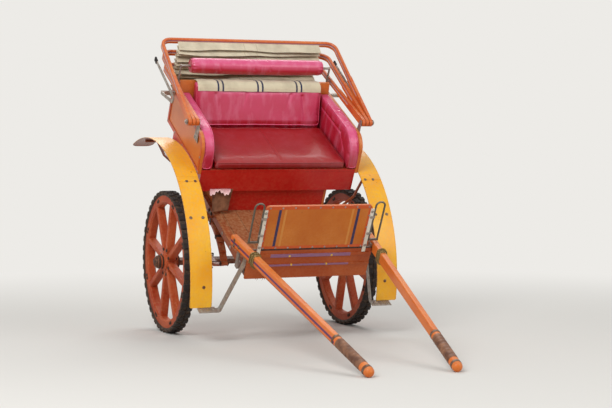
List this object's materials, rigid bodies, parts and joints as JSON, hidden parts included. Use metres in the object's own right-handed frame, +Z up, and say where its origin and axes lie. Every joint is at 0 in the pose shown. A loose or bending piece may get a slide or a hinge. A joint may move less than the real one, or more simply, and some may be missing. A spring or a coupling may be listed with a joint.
{
  "type": "horse-drawn carriage",
  "caption": "Two-wheeled open horse-drawn gig with a folded hood, padded bench, curved fenders and two shafts, parked resting on its shaft tips.",
  "frame": {"origin": "centre of the bounding box on the ground, under the parked carriage", "axes": "+X forward towards the shaft tips, +Y to the carriage's left, +Z up"},
  "size_m": [3.1909, 1.568, 2.0886],
  "materials": {
    "wheel_paint": "orange-red paint, worn and dusty",
    "tyre_rubber": "worn rubber tread",
    "axle_iron": "old brown paint",
    "spring_paint": "orange-brown paint",
    "frame_wood": "painted hardwood",
    "orange_panel": "orange gloss paint, faded",
    "lower_panel": "brown-orange paint",
    "red_panel": "red paint",
    "grey_steel": "bare weathered steel",
    "red_vinyl": "red leathercloth, shiny",
    "pink_vinyl": "sun-faded pink leathercloth",
    "hood_wood": "orange paint",
    "hood_cloth": "cream lining, dark outer cloth",
    "fender_paint": "yellow gloss paint",
    "shaft_paint": "orange paint with a dark stripe",
    "rope": "dusty cord",
    "brown_leather": "worn brown leather"
  },
  "bodies": {
    "carriage": {"arm_pad_left": "red_vinyl", "arm_pad_right": "red_vinyl", "axle": "axle_iron", "back_board": "lower_panel", "back_cushion": "pink_vinyl", "bolster": "pink_vinyl", "bolster_iron_left": "grey_steel", "bolster_iron_right": "grey_steel", "dash_panel": "orange_panel", "dash_post_left": "grey_steel", "dash_post_right": "grey_steel", "fender_left": "fender_paint", "fender_right": "fender_paint", "floor": "frame_wood", "foot_flap": "brown_leather", "front_panel": "lower_panel", "grab_handle_left": "grey_steel", "grab_handle_right": "grey_steel", "hood_canvas": "hood_cloth", "hood_pivot_left": "grey_steel", "hood_pivot_right": "grey_steel", "hood_rest_left": "grey_steel", "hood_rest_right": "grey_steel", "lashing_left": "rope", "lashing_right": "rope", "riser_front": "red_panel", "riser_rear": "lower_panel", "riser_side_left": "lower_panel", "riser_side_right": "lower_panel", "seat_bottom": "red_panel", "seat_cushion": "red_vinyl", "seat_deck": "red_panel", "seat_front": "red_panel", "seat_rear": "red_panel", "seat_side_left": "red_panel", "seat_side_right": "red_panel", "shaft_iron_left": "grey_steel", "shaft_iron_right": "grey_steel", "shaft_left": "shaft_paint", "shaft_right": "shaft_paint", "side_panel_left": "orange_panel", "side_panel_right": "orange_panel", "sill_left": "frame_wood", "sill_right": "frame_wood", "spring_left": "spring_paint", "spring_right": "spring_paint", "step_iron_left": "grey_steel", "step_iron_right": "grey_steel"},
    "wheel_left": {"wheel_left": "wheel_paint", "tyre_left": "tyre_rubber"},
    "wheel_right": {"wheel_right": "wheel_paint", "tyre_right": "tyre_rubber"},
    "hood_front": {"hood_bow_1": "hood_wood"},
    "hood_middle": {"hood_bow_2": "hood_wood"},
    "hood_rear": {"hood_bow_3": "hood_wood"}
  },
  "joints": [
    {"name": "wheel_left_spin", "type": "hinge", "parent": "carriage", "child": "wheel_left", "pos_m": [-0.93755, 0.681, 0.5], "axis": [0, 1, 0], "continuous": true},
    {"name": "wheel_right_spin", "type": "hinge", "parent": "carriage", "child": "wheel_right", "pos_m": [-0.93755, -0.681, 0.5], "axis": [0, 1, 0], "continuous": true},
    {"name": "hood_fold", "type": "hinge", "parent": "carriage", "child": "hood_front", "pos_m": [-0.49476, 0, 1.47955], "axis": [0, 1, 0], "range_deg": [0, 102], "deforming": ["hood_canvas"]},
    {"name": "hood_middle_fold", "type": "hinge", "parent": "carriage", "child": "hood_middle", "pos_m": [-0.49476, 0, 1.47955], "axis": [0, 1, 0], "range_deg": [0, 70]},
    {"name": "hood_rear_fold", "type": "hinge", "parent": "carriage", "child": "hood_rear", "pos_m": [-0.49476, 0, 1.47955], "axis": [0, 1, 0], "range_deg": [0, 36]}
  ],
  "couplings": [
    {"joint": "hood_middle_fold", "follows": "hood_fold", "ratio": 0.6667},
    {"joint": "hood_rear_fold", "follows": "hood_fold", "ratio": 0.3333}
  ]
}
